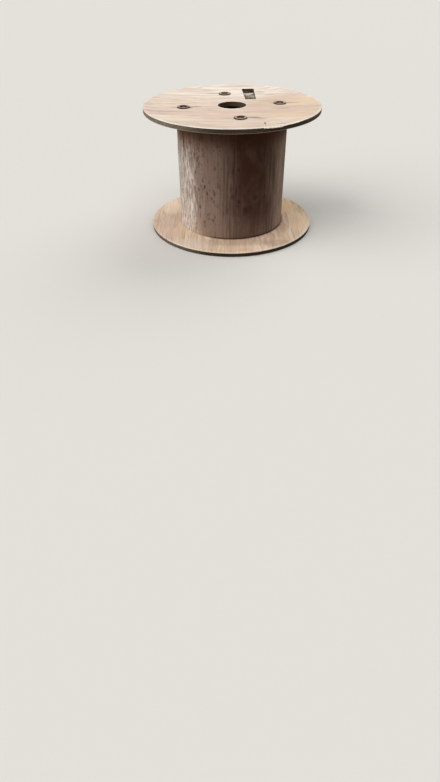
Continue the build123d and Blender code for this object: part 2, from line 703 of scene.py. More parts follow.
    def from_bolt(self, face: Surface) -> Socket:
        """Measures how far a point lies from the middle of the dark ring round the nearest bolt.

        The ring's middle stands off the bolt's axis towards the front, so that a painted shadow falls on the
        washer's near side.

        Args:
            face: The flange's face.

        Returns:
            The distance, in metres.
        """
        tree = face.tree
        settings = {"operation": "ADD", 1: (0.0, self.rust_runs * MM, 0.0)}
        drawn = add_node(tree, "VectorMath", settings, {0: face.place}).outputs[0]
        turn = math.radians(self.bolt_azimuth)
        sides = []
        for way in ((math.cos(turn), math.sin(turn), 0.0), (-math.sin(turn), math.cos(turn), 0.0)):
            settings = {"operation": "DOT_PRODUCT", 1: way}
            along = add_node(tree, "VectorMath", settings, {0: drawn}).outputs["Value"]
            sides.append(add_node(tree, "Math", {"operation": "ABSOLUTE"}, {0: along}).outputs[0])
        both = dict(enumerate(sides))
        far = add_node(tree, "Math", {"operation": "MAXIMUM"}, both).outputs[0]
        near = add_node(tree, "Math", {"operation": "MINIMUM"}, both).outputs[0]
        settings = {"operation": "SUBTRACT", 1: self.bolt_circle * MM}
        out = add_node(tree, "Math", settings, {0: far}).outputs[0]
        flat = add_node(tree, "CombineXYZ", links={0: out, 1: near}).outputs[0]
        return add_node(tree, "VectorMath", {"operation": "LENGTH"}, {0: flat}).outputs["Value"]

    def layered_edge(self, edge: Surface) -> Socket:
        """Lays the sawn edge: end grain and long grain layers by turns, with their glue lines and dirt.

        Args:
            edge: The flange's edge.

        Returns:
            The edge's relief.
        """
        tree = edge.tree
        height = add_node(tree, "SeparateXYZ", links={0: edge.place}).outputs[2]
        wander = edge.pattern(90.0, detail=2.0)
        wander = add_node(tree, "Math", {"operation": "MULTIPLY", 1: 0.3 * MM}, {0: wander}).outputs[0]
        height = add_node(tree, "Math", {"operation": "ADD"}, {0: height, 1: wander}).outputs[0]
        settings = {"operation": "MULTIPLY", 1: self.layers / (self.thickness * MM)}
        count = add_node(tree, "Math", settings, {0: height}).outputs[0]
        wave = add_node(tree, "Math", {"operation": "PINGPONG", 1: 1.0}, {0: count}).outputs[0]
        fleck = edge.pattern(7.0, (1.0, 1.0, 5.0), 3.0, (2.0, 2.0, 2.0))
        flecked = add_node(tree, "Math", {"operation": "MULTIPLY", 1: 0.5}, {0: fleck}).outputs[0]
        wave = add_node(tree, "Math", {"operation": "ADD"}, {0: wave, 1: flecked}).outputs[0]
        within = add_node(tree, "Math", {"operation": "FRACT"}, {0: count}).outputs[0]
        dirt = edge.pattern(60.0, detail=3.0, shift=(6.0, 1.0, 1.0))

        edge.lay(self.edge_light, Rise(wave, 0.45, 1.1))
        edge.lay(self.glue, Rise(within, 0.16, 0.02, 0.5))
        edge.lay(self.glue, Rise(dirt, 0.4, 0.7, 0.6))
        washed = edge.toward(self.washed_azimuth, 0.55, 0.93)
        edge.lay(self.rain_washed, washed, Rise(fleck, 0.36, 0.62, 0.85, 0.3))
        # The holes' walls: cleaner, and darkened as painted shade
        in_a_hole = Rise.over(edge.radius(), self.hole_reach)
        edge.lay(self.sheltered_and_shaded, in_a_hole, Rise(wave, 0.4, 1.2, 0.75, 0.2))
        return wave


@dataclass(frozen=True)
class BendingPly(Finish):
    """Bending plywood, rolled with its grain upright and greyed by rain and mould.

    Its open face veneer is rough and combed out along the grain where it weathers most, it stays dark where
    it dries last, darkened further there as painted shade, and mould stands in it as small dark dashes. It
    is painted darker under the upper flange and at its foot, as shade. Lengths are in millimetres and
    azimuths in degrees. A reach runs from where a tone starts to where it is full.
    """

    # The sheet, whose grain runs up it, and its greyed strands
    grain: Axis = Axis.Y
    radius_out: float = 158.0
    seam_azimuth: float = -150.0
    warm: str = "B2998A"
    grey: str = "9D887A"
    mossy: str = "7A6254"
    algae_azimuth: float = -109.0
    strand: str = "725C4D"
    # Painted shade, darker towards the top, under the upper flange
    upper_shade: str = "6B4530"
    upper_shade_reach: Pair = (240.0, 300.0)

    # Real fibres are some hundredths of a millimetre wide, and are drawn this coarse so that they show
    fibre: float = 2.6

    # The side that dries last, darkened further as painted shade, and the one that the weather has bleached
    # and combed out. Their borders waver with the strands.
    waver: float = 0.16
    soaked_and_shaded: str = "482B1D"
    soaked_and_shaded_azimuth: float = -69.0
    dry_foot: Pair = (30.0, 110.0)
    bleached: str = "F2E5DA"
    combed_azimuth: float = -155.0
    combed_reach: Pair = (280.0, 200.0)

    # Mould, in dashes and in larger marks
    mould: str = "2E201A"
    mould_azimuth: float = -132.0
    mould_elsewhere: float = 0.3
    dash_strength: float = 0.46
    mark_strength: float = 0.8
    marks: tuple[Mark, ...] = ()

    # Painted shade under the upper flange and at the foot, weakest there on the lit side, and dirt along the
    # seam where it gapes. seam_turns is the reach of the seam's, as turns from the middle of the sheet in
    # radians.
    under_flange_shade: str = "3F2510"
    under_flange_shade_reach: Pair = (258.0, 304.0)
    seam_turns: Pair = (math.pi - 0.035, math.pi - 0.01)
    gape_reach: Pair = (215.0, 265.0)
    foot: str = "3A2018"
    foot_shade_reach: Pair = (17.5, 13.5)
    lit_side_azimuth: float = -160.0

    # The face that looks into the drum
    inside: str = "87938E"
    inside_reach: Pair = (155.5, 153.5)
    fresh_end: str = "DDD0BA"
    end_reach: Pair = (314.0, 323.0)

    def dress(self, tree: Tree, shader: Node) -> None:
        """Fills the tree: grain, the side that dries last and painted shade, bleaching, mould, dirt, the
        inner face and relief.

        Args:
            tree: The material's node tree.
            shader: Its surface shader.
        """
        place = add_node(tree, "TexCoord").outputs["Object"]
        height = add_node(tree, "SeparateXYZ", links={0: place}).outputs[2]
        turn, sheet = self.unrolled(tree, place, height)
        skin = Surface(tree, place, sheet, self.warm)

        strands = self.greyed(skin, height)
        settings = {"operation": "SUBTRACT", 1: 0.5}
        wavering = add_node(tree, "Math", settings, {0: strands}).outputs[0]
        settings = {"operation": "MULTIPLY", 1: self.waver}
        wavering = add_node(tree, "Math", settings, {0: wavering}).outputs[0]
        self.damp_and_shaded(skin, height, wavering)
        bleach = self.combed(skin, height, wavering)
        self.mouldy(skin)
        self.grimed_and_shaded(skin, turn, height)

        within = Surface(tree, place, sheet, self.inside)
        within.lay(self.fresh_end, Rise.over(height, self.end_reach))
        skin.lay(within.colour, Rise.over(skin.radius(), self.inside_reach))

        fibre = skin.pattern(self.fibre, self.grain.stretched(20.0), 4.0, (4.0, 4.0, 0.0))
        lifted = add_node(tree, "Math", {"operation": "MULTIPLY", 1: 0.6}, {0: bleach}).outputs[0]
        rough = add_node(tree, "Math", {"operation": "ADD"}, {0: fibre, 1: lifted}).outputs[0]
        skin.join_to(shader, rough, strength=0.8, depth=0.8)
        shader.inputs["Roughness"].default_value = 0.9
        shader.inputs["Specular IOR Level"].default_value = 0.2

    def unrolled(self, tree: Tree, place: Socket, height: Socket) -> tuple[Socket, Socket]:
        """Unrolls the barrel into the flat sheet it was bent from, cut at its seam.

        Args:
            tree: The material's node tree.
            place: The object coordinates.
            height: Their height.

        Returns:
            The turn from the middle of the sheet, in radians, and coordinates on the sheet, in metres:
            round the barrel, and along the grain.
        """
        middle = math.radians(self.seam_azimuth + 180)
        ahead = (math.cos(middle), math.sin(middle), 0.0)
        aside = (-math.sin(middle), math.cos(middle), 0.0)
        across, out = (
            add_node(tree, "VectorMath", {"operation": "DOT_PRODUCT", 1: way}, {0: place}).outputs["Value"]
            for way in (aside, ahead)
        )
        turn = add_node(tree, "Math", {"operation": "ARCTAN2"}, {0: across, 1: out}).outputs[0]
        settings = {"operation": "MULTIPLY", 1: self.radius_out * MM}
        round_it = add_node(tree, "Math", settings, {0: turn}).outputs[0]
        return turn, add_node(tree, "CombineXYZ", links={0: round_it, 1: height}).outputs[0]

    def greyed(self, skin: Surface, height: Socket) -> Socket:
        """Lays the weathered grain: grey over warm, mossy bands, dark strands, painted shade towards the
        top, and algae on the front left.

        Args:
            skin: The barrel's skin.
            height: The height of a point, in metres.

        Returns:
            The pattern of the strands.
        """
        broad = skin.pattern(42.0, self.grain.stretched(3.0), 3.0)
        skin.lay(self.grey, Rise(broad, 0.38, 0.62))
        moss = skin.pattern(34.0, self.grain.stretched(5.0), 2.0, (5.0, 2.0, 0.0))
        skin.lay(self.mossy, Rise(moss, 0.52, 0.72, 0.45))
        strands = skin.pattern(5.0, self.grain.stretched(26.0), 4.0, (2.0, 5.0, 0.0))
        skin.lay(self.strand, Rise(strands, 0.46, 0.72, 0.55))
        # Painted shade: darker towards the top, under the upper flange
        skin.lay(self.upper_shade, Rise.over(height, self.upper_shade_reach, 0.64))
        skin.lay(self.mossy, skin.toward(self.algae_azimuth, 0.96, 0.99), Rise(broad, 0.3, 0.6, 0.4, 0.75))
        return strands

    def damp_and_shaded(self, skin: Surface, height: Socket, wavering: Socket) -> None:
        """Lays the side that dries last, darkened further as painted shade.

        Args:
            skin: The barrel's skin.
            height: The height of a point, in metres.
            wavering: How the side's borders follow the strands.
        """
        blotch = skin.pattern(55.0, self.grain.stretched(1.6), 3.0, (8.0, 0.0, 1.0))
        # The side that dries last, darkened further as painted shade
        skin.lay(
            self.soaked_and_shaded,
            skin.toward(self.soaked_and_shaded_azimuth, 0.78, 0.988, wavering),
            Rise(blotch, 0.3, 0.6, 0.98, 0.82),
            Rise.over(height, self.dry_foot, 1.0, 0.72),
        )

    def combed(self, skin: Surface, height: Socket, wavering: Socket) -> Socket:
        """Lays the bleached side, whose fibres the rain has combed out.

        Args:
            skin: The barrel's skin.
            height: The height of a point, in metres.
            wavering: How the side's borders follow the strands.

        Returns:
            The mask of the bleached fibres.
        """
        tree = skin.tree
        side = skin.toward(self.combed_azimuth, 0.86, 0.98, wavering)
        comb = skin.mask(side, Rise.over(height, self.combed_reach, 1.0, 0.25))
        streaks = skin.pattern(3.4, self.grain.stretched(12.0), 4.0, (0.0, 3.0, 7.0))
        fewer = add_node(tree, "Math", {"operation": "SUBTRACT", 1: 1.0}, {0: comb}).outputs[0]
        fewer = add_node(tree, "Math", {"operation": "MULTIPLY", 1: 0.2}, {0: fewer}).outputs[0]
        kept = add_node(tree, "Math", {"operation": "ADD"}, {0: streaks, 1: fewer}).outputs[0]
        bleach = skin.mask(Rise(comb, 0.0, 0.5), Rise(kept, 0.38, 0.6, 0.95))
        skin.lay(self.bleached, bleach)
        return bleach

    def mouldy(self, skin: Surface) -> None:
        """Lays mould: dashes of 2 to 5 mm in loose groups, thickest on the front left, and larger spots.

        Args:
            skin: The barrel's skin.
        """
        tree = skin.tree
        crowd = skin.pattern(45.0, (1.0, 0.8, 1.0), 2.0, (0.0, 0.0, 9.0))
        side = skin.mask(skin.toward(self.mould_azimuth, 0.72, 0.93))
        settings = {"operation": "MAXIMUM", 1: self.mould_elsewhere}
        side = add_node(tree, "Math", settings, {0: side}).outputs[0]
        crowd = skin.mask(Rise(crowd, 0.38, 0.56), side)
        masks = []

        # The skin is divided into cells of a size in millimetres, and a share of them holds a dash, which
        # fills a part of its cell
        for spacing, reach, share in ((15.0, 0.34, 0.26), (8.0, 0.32, 0.26), (5.0, 0.34, 0.2)):
            mapping = add_node(tree, "Mapping", {"Scale": (1.0, 0.6, 1.0)}, {"Vector": skin.sheet})
            settings = {"voronoi_dimensions": "2D", "Scale": 1 / (spacing * MM)}
            cells = add_node(tree, "TexVoronoi", settings, {"Vector": mapping.outputs[0]})
            drawn = add_node(tree, "SeparateColor", links={0: cells.outputs["Color"]}).outputs[0]
            kept = add_node(tree, "Math", {"operation": "LESS_THAN", 1: share}, {0: drawn}).outputs[0]
            dash = Rise(cells.outputs["Distance"], reach, reach * 0.3, self.dash_strength)
            masks.append(skin.mask(dash, kept, crowd))
        torn = skin.pattern(4.0, (1.0, 0.5, 1.0), 2.0, (1.0, 1.0, 3.0))
        for mark in self.marks:
            turn = math.remainder(math.radians(mark.azimuth - self.seam_azimuth - 180), math.tau)
            middle = (turn * self.radius_out, mark.height, 0.0)
            half = (mark.wide, mark.tall, self.radius_out)
            strength = self.mark_strength * mark.strength
            masks.append(skin.mask(skin.spot(middle, half, torn, strength, softness=0.6)))
        total = masks[0]
        for other in masks[1:]:
            total = add_node(tree, "Math", {"operation": "MAXIMUM"}, {0: total, 1: other}).outputs[0]
        skin.lay(self.mould, total)

    def grimed_and_shaded(self, skin: Surface, turn: Socket, height: Socket) -> None:
        """Lays painted shade under the upper flange and at the foot, and dirt along the seam's gape.

        Args:
            skin: The barrel's skin.
            turn: The turn from the middle of the sheet, in radians.
            height: The height of a point, in metres.
        """
        # Painted shade under the upper flange
        skin.lay(self.under_flange_shade, Rise.over(height, self.under_flange_shade_reach, 0.7))
        from_middle = add_node(skin.tree, "Math", {"operation": "ABSOLUTE"}, {0: turn}).outputs[0]
        by_seam = Rise(from_middle, *self.seam_turns, 0.6)
        skin.lay(self.mould, by_seam, Rise.over(height, self.gape_reach))
        # Painted shade where the barrel meets the lower flange, weakest on the lit side
        lit_side = skin.mask(skin.toward(self.lit_side_azimuth, 0.5, 0.9))
        skin.lay(self.foot, Rise.over(height, self.foot_shade_reach, 0.75), Rise(lit_side, 0.0, 1.0, 0.1, 1.0))


@dataclass(frozen=True)
class RustedSteel(Finish):
    """Zinc plated mild steel whose plating has gone dull and let rust through.

    Its flat faces keep the pale plating and its side faces are darker, with rust on the cut edges and
    painted shade on all of them, and what lies deep in a dish is painted near black, as shade. patch is the
    size of a spot of rust, in millimetres, and rusts_at is where on that pattern rust begins. The shade's
    reach is measured from middle_height, half way up the drum, so that both its ends look alike.
    """

    zinc: str = "B3A092"
    rust: str = "7A5A49"
    dark: str = "4A3226"
    rusted_side_and_shade: str = "2A1A13"
    dish_shade: str = "120D0A"
    patch: float = 6.0
    rusts_at: float = 0.536

    # Rust's grit is a tenth of a millimetre and less, and is drawn this coarse so that it shows
    grit: float = 1.5

    middle_height: float = 169.5
    shade_reach: Pair = (171.95, 171.1)

    def dress(self, tree: Tree, shader: Node) -> None:
        """Fills the tree: dull plating, two depths of rust, darker sides, painted shade in the dish, and the
        rust's crust.

        Args:
            tree: The material's node tree.
            shader: Its surface shader.
        """
        space = add_node(tree, "TexCoord")
        place = space.outputs["Object"]
        plating = Surface(tree, place, place, self.zinc)
        spread = plating.pattern(self.patch, detail=4.0)
        fine = plating.pattern(self.grit, detail=3.0, shift=(2.0, 3.0, 4.0))
        brown = Surface(tree, place, place, self.rust)
        brown.lay(self.dark, Rise(fine, 0.4, 0.7))
        plating.lay(brown.colour, Rise(spread, self.rusts_at - 0.05, self.rusts_at + 0.05))

        upward = add_node(tree, "SeparateXYZ", links={0: space.outputs["Normal"]}).outputs[2]
        flat = add_node(tree, "Math", {"operation": "ABSOLUTE"}, {0: upward}).outputs[0]
        # Side faces darker than flat ones: rust on the cut edges, and painted shade
        plating.lay(self.rusted_side_and_shade, Rise(flat, 0.94, 0.75, 0.95))
        height = add_node(tree, "SeparateXYZ", links={0: place}).outputs[2]
        settings = {"operation": "SUBTRACT", 1: self.middle_height * MM}
        above = add_node(tree, "Math", settings, {0: height}).outputs[0]
        outward = add_node(tree, "Math", {"operation": "ABSOLUTE"}, {0: above}).outputs[0]
        # Painted shade, near black, deep in the dish
        plating.lay(self.dish_shade, Rise.over(outward, self.shade_reach, 0.9))

        bare = plating.mask(Rise(spread, self.rusts_at, self.rusts_at + 0.1, 0.0, 0.85))
        tree.links.new(bare, shader.inputs["Metallic"])
        tree.links.new(plating.mask(Rise(fine, 0.2, 0.8, 0.85, 0.5)), shader.inputs["Roughness"])
        plating.join_to(shader, fine, strength=0.6, depth=0.25)


@dataclass(frozen=True)
class TornWood(Finish):
    """Freshly torn or combed out veneer: bare fibres, paler than the surface they came from."""

    pale: str = "FFF7EA"
    warm: str = "EBDAC1"
    grain: Axis = Axis.X

    # Drawn coarser than real fibres, as on the plywood's faces
    fibre: float = 1.5

    def dress(self, tree: Tree, shader: Node) -> None:
        """Fills the tree: two tones along the fibres, and their relief.

        Args:
            tree: The material's node tree.
            shader: Its surface shader.
        """
        place = add_node(tree, "TexCoord").outputs["Object"]
        wood = Surface(tree, place, place, self.pale)
        fibres = wood.pattern(self.fibre, self.grain.stretched(9.0), 3.0)
        wood.lay(self.warm, Rise(fibres, 0.4, 0.7))
        wood.join_to(shader, fibres, strength=0.5, depth=0.2)
        shader.inputs["Roughness"].default_value = 0.85
        shader.inputs["Specular IOR Level"].default_value = 0.25


@dataclass(frozen=True)
class PalePaper(Finish):
    """The seamless pale ground that the drum stands on.

    It looks pale, and throws back as little light as bare ground does, so that the drum's own shades stay.
    """

    tone: str = "DEDBD6"
    thrown_back: str = "8C8881"

    def dress(self, tree: Tree, shader: Node) -> None:
        """Fills the tree: one matt tone for the eye, and a deeper one for the light it throws back.

        Args:
            tree: The material's node tree.
            shader: Its surface shader.
        """
        place = add_node(tree, "TexCoord").outputs["Object"]
        paper = Surface(tree, place, place, self.thrown_back)
        paper.lay(self.tone, seen_directly(tree))
        tree.links.new(paper.colour, shader.inputs["Base Color"])
        shader.inputs["Roughness"].default_value = 0.95
        shader.inputs["Specular IOR Level"].default_value = 0.1


# ---------------------------------------------------------------------------------------------------------
# The drum's sub-assemblies
# ---------------------------------------------------------------------------------------------------------


@dataclass
class Fasteners:
    """The four clamping sets: a threaded rod, and a dished washer with a sunk nut at either end.

    All sizes are in millimetres, and a height is measured from the underside of the drum. A bend, a chamfer
    or a rolled edge gives its points as how far each lies in from the edge, and how far from the face.
    """

    rod_circle: float = 137.0
    first_azimuth: float = 8.0
    count: int = 4
    top_face: float = 339.0
    faces_round: int = 64

    # Washers
    sheet: float = 2.5
    washer_radius: float = 17.5
    rolled_edge: tuple[Pair, ...] = ((1.4, 0.0), (0.45, 0.25), (0.0, 0.9))
    dish_radius: float = 10.0
    dish_depth: float = 9.5
    floor_hole: float = 4.5
    floor_bend: tuple[Pair, ...] = ((1.2, 0.0), (0.35, 0.35), (0.0, 1.2))
    back_bend: float = 1.5
    mouth: float = 2.6
    mouth_step: int = 18

    # Nuts
    nut_flats: float = 13.0
    nut_height: float = 6.5
    nut_chamfer: tuple[Pair, ...] = ((1.25, 0.0), (0.0, 0.72), (-0.2, 0.9))
    nut_bore: float = 4.1
    bore_chamfer: Pair = (1.5, 0.5)
    drill_faces: int = 32

    # Threaded rods, of M8 with its coarse thread
    thread_radius: float = 4.0
    thread_depth: float = 0.62
    thread_crest: float = 0.2
    thread_root: float = 0.72
    pitch: float = 1.25
    thread_steps: int = 16
    spare_turns: int = 4
    rod_low: float = 2.0
    rod_high: float = 339.5
    end_taper: float = 0.86

    def build(self, washer: Finish, nut: Finish, rod: Finish) -> None:
        """Builds the clamping sets in place of their plain nodes.

        Args:
            washer: The washers' finish.
            nut: The nuts' finish.
            rod: The rods' finish.
        """
        dressed = {
            "washer": (self.dished_washer(), washer.material(), "washer_steel"),
            "nut": (self.hex_nut(), nut.material(), "nut_steel"),
        }
        threaded = self.threaded_rod()
        threaded.data.materials.append(rod.material())
        for piece, material, _ in dressed.values():
            piece.data.materials.append(material)
        lifted = Matrix.Translation((0, 0, (self.top_face + self.sheet) * MM))
        over = lifted @ Matrix.Rotation(math.pi, 4, "X")
        out = Matrix.Translation((self.rod_circle * MM, 0, 0))
        for number in range(1, self.count + 1):
            turn = self.first_azimuth + (number - 1) * 360 / self.count
            under = Matrix.Rotation(math.radians(turn), 4, "Z") @ out
            for kind, (piece, _, slot) in dressed.items():
                for end, place in (("bottom", under), ("top", under @ over)):
                    made = Bench.copy(piece, f"{end}_pressed_{kind}_{number}", place)
                    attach(made, "root")
                    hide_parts(f"{end}_{kind}_{number}")
            made = Bench.copy(threaded, f"threaded_rod_{number}", under)
            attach(made, "root")
            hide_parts(f"tie_rod_{number}")
            log.info("clamping set %d at %.0f degrees", number, turn)
        for piece in (dressed["washer"][0], dressed["nut"][0], threaded):
            bpy.data.objects.remove(piece)

    def dished_washer(self) -> Piece:
        """Models a pressed washer as it sits under the drum, its rim's outer face at height 0.

        Returns:
            The washer, spun from its section.
        """
        inside, outside = self.dish_radius, self.dish_radius + self.sheet
        back = self.dish_depth + self.sheet
        turns = [math.radians(turn) for turn in range(0, 91, self.mouth_step)]
        section = [
            (self.floor_hole, self.dish_depth),
            *((inside - within, self.dish_depth - up) for within, up in self.floor_bend),
            *((inside + self.mouth * (1 - math.cos(t)), self.mouth * (1 - math.sin(t))) for t in turns),
            *((self.washer_radius - within, up) for within, up in self.rolled_edge),
            (self.washer_radius, self.sheet),
            (outside, self.sheet),
            (outside, back - self.back_bend),
            (outside - self.back_bend, back),
            (self.floor_hole, back),
            (self.floor_hole, self.dish_depth),
        ]
        washer = Bench.spin(section, self.faces_round)
        Bench.smooth(washer, 40)
        return washer

    def hex_nut(self) -> Piece:
        """Models a hex nut as it sits in the lower washer, chamfered at both ends and bored.

        Returns:
            The nut.
        """
        low, high = self.dish_depth - self.nut_height, self.dish_depth
        corner = self.nut_flats / 2 / math.cos(math.radians(30))
        Bench.clear()
        bpy.ops.mesh.primitive_cylinder_add(
            vertices=6,
            radius=corner * MM,
            depth=self.nut_height * MM,
            end_fill_type="NGON",
            location=(0, 0, (low + high) / 2 * MM),
        )
        nut = bpy.context.object
        Bench.settle(nut)
        turned = [
            (0.0, low),
            *((corner - within, low + up) for within, up in self.nut_chamfer),
            *((corner - within, high - up) for within, up in reversed(self.nut_chamfer)),
            (0.0, high),
        ]
        Bench.cut(nut, Bench.spin(turned, self.faces_round), "INTERSECT")
        wider, deep = self.bore_chamfer
        drill = [
            (0.0, low - 1.0),
            (self.nut_bore + wider, low - 1.0),
            (self.nut_bore, low + deep),
            (self.nut_bore, high - deep),
            (self.nut_bore + wider, high + 1.0),
            (0.0, high + 1.0),
        ]
        Bench.cut(nut, Bench.spin(drill, self.drill_faces), "DIFFERENCE")
        Bench.smooth(nut, 25)
        return nut

    def threaded_rod(self) -> Piece:
        """Models a rod with its thread: one turn's outline, wound up by a screw and sawn to length.

        Returns:
            The rod.
        """
        crest, root = self.thread_radius, self.thread_radius - self.thread_depth
        start = self.rod_low - self.spare_turns / 2 * self.pitch
        one_turn = [
            (crest, start),
            (crest, start + self.thread_crest),
            (root, start + self.thread_root),
            (crest, start + self.pitch),
        ]
        rod = Bench.draw(one_turn)
        Bench.settle(rod)
        winding = {
            "axis": "Z",
            "angle": math.tau,
            "screw_offset": self.pitch * MM,
            "iterations": math.ceil((self.rod_high - self.rod_low) / self.pitch) + self.spare_turns,
            "steps": self.thread_steps,
            "render_steps": self.thread_steps,
        }
        Bench.apply(rod, "SCREW", **winding)
        Bench.weld(rod)
        bpy.ops.object.mode_set(mode="EDIT")
        for height, way in ((self.rod_high, 1), (self.rod_low, -1)):
            end = (0, 0, height * MM)
            bpy.ops.mesh.select_all(action="SELECT")
            bpy.ops.mesh.bisect(
                plane_co=end, plane_no=(0, 0, way), use_fill=True, clear_outer=True, threshold=WELD
            )
            bpy.ops.transform.resize(value=(self.end_taper, self.end_taper, 1), center_override=end)
        bpy.ops.mesh.select_all(action="SELECT")
        bpy.ops.mesh.normals_make_consistent(inside=False)
        bpy.ops.object.mode_set(mode="OBJECT")
        Bench.smooth(rod, 20)
        return rod


@dataclass
class Slivers:
    """Strips of veneer fibre, from one model, that lift off the drum's worn places.

    length, width, thickness, bow and sway are the model's, in millimetres. narrowing is the share of its
    width that the last segment loses.
    """

    length: float
    width: float
    thickness: float
    bow: float
    seed: int
    sway: float = 0.12
    segments: int = 6
    narrowing: float = 0.3
    chance: random.Random = field(init=False)

    def __post_init__(self) -> None:
        """Seeds the strips' spread, so that every run gives the same ones."""
        self.chance = random.Random(self.seed)

    def model(self) -> Piece:
        """Shapes one strip: it starts flush at height 0, runs up Z, bows off towards Y and thins to its end.

        Returns:
            The strip.
        """
        Bench.clear()
        bpy.ops.mesh.primitive_plane_add(size=MM)
        strip = bpy.context.object
        strip.scale = (self.width, self.thickness, 1)
        Bench.settle(strip)
        bpy.ops.object.mode_set(mode="EDIT")
        step = self.length / self.segments
        height = 0.0
        for number in range(1, self.segments + 1):
            share = number / self.segments
            aside = self.sway * math.sin(5 * share)
            lift = self.bow * (share**2 - ((number - 1) / self.segments) ** 2)
            height += step
            way = (aside * MM, lift * MM, step * MM)
            bpy.ops.mesh.extrude_region_move(TRANSFORM_OT_translate={"value": way})
            middle = (0, self.bow * share**2 * MM, height * MM)
            left = 1 - self.narrowing * share
            bpy.ops.transform.resize(value=(left, left, 1), center_override=middle)
        bpy.ops.mesh.select_all(action="SELECT")
        bpy.ops.mesh.normals_make_consistent(inside=False)
        bpy.ops.object.mode_set(mode="OBJECT")
        Bench.smooth(strip, 50)
        return strip

    def spread(self, places: Sequence[Matrix], finish: Finish, name: str) -> Piece:
        """Copies the strip to each of several places and joins the copies.

        Args:
            places: Where the copies go.
            finish: Their finish.
            name: The joined piece's name.

        Returns:
            The joined piece.
        """
        model = self.model()
        model.data.materials.append(finish.material())
        made = [Bench.copy(model, f"{name}_{number}", place) for number, place in enumerate(places)]
        bpy.data.objects.remove(model)
        log.info("%s: %d strips", name, len(made))
        return Bench.join(made, name)


@dataclass
class Barrel:
    """The rolled barrel: its greyed skin and the fibres that lift off its bleached side.

    Sizes and heights are in millimetres, azimuths in degrees. combed and heights say where the fibres lie:
    the lowest value, the highest and the most frequent one.
    """

    radius: float = 158.0
    sunk: float = 0.05
    combed: Point = (-183.0, -131.0, -160.0)
    heights: Point = (39.0, 282.0, 120.0)
    fibres: int = 150

    def build(self, node: Piece, skin: Finish, torn: Finish) -> None:
        """Dresses the barrel and adds its lifted fibres.

        Args:
            node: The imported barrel.
            skin: The barrel's finish.
            torn: The lifted fibres' finish.
        """
        node.material_slots[0].material = skin.material()
        log.info("barrel dressed")
        strips = Slivers(length=24.0, width=1.5, thickness=0.45, bow=1.3, seed=23)
        places = [self.lifted(strips.chance) for _ in range(self.fibres)]
        fibres = strips.spread(places, torn, "lifted_fibres")
        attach(fibres, "root")

    def lifted(self, chance: random.Random) -> Matrix:
        """Places one fibre along the grain, rooted in the skin and pointing up or down.

        Args:
            chance: Where its place, size and lean come from.

        Returns:
            Its placing.
        """
        azimuth = math.radians(chance.triangular(*self.combed))
        height = chance.triangular(*self.heights)
        points_up = chance.random() < 0.5
        size = (chance.uniform(0.5, 1.3), chance.uniform(0.3, 1.5), chance.uniform(0.4, 1.7))
        lean = math.radians(chance.gauss(0, 4))
        return (
            Matrix.Rotation(azimuth - math.pi / 2, 4, "Z")
            @ Matrix.Translation((0, (self.radius - self.sunk) * MM, height * MM))
            @ Matrix.Rotation(lean, 4, "Y")
            @ Matrix.Rotation(0 if points_up else math.pi, 4, "Y")
            @ Matrix.Diagonal((*size, 1))
        )


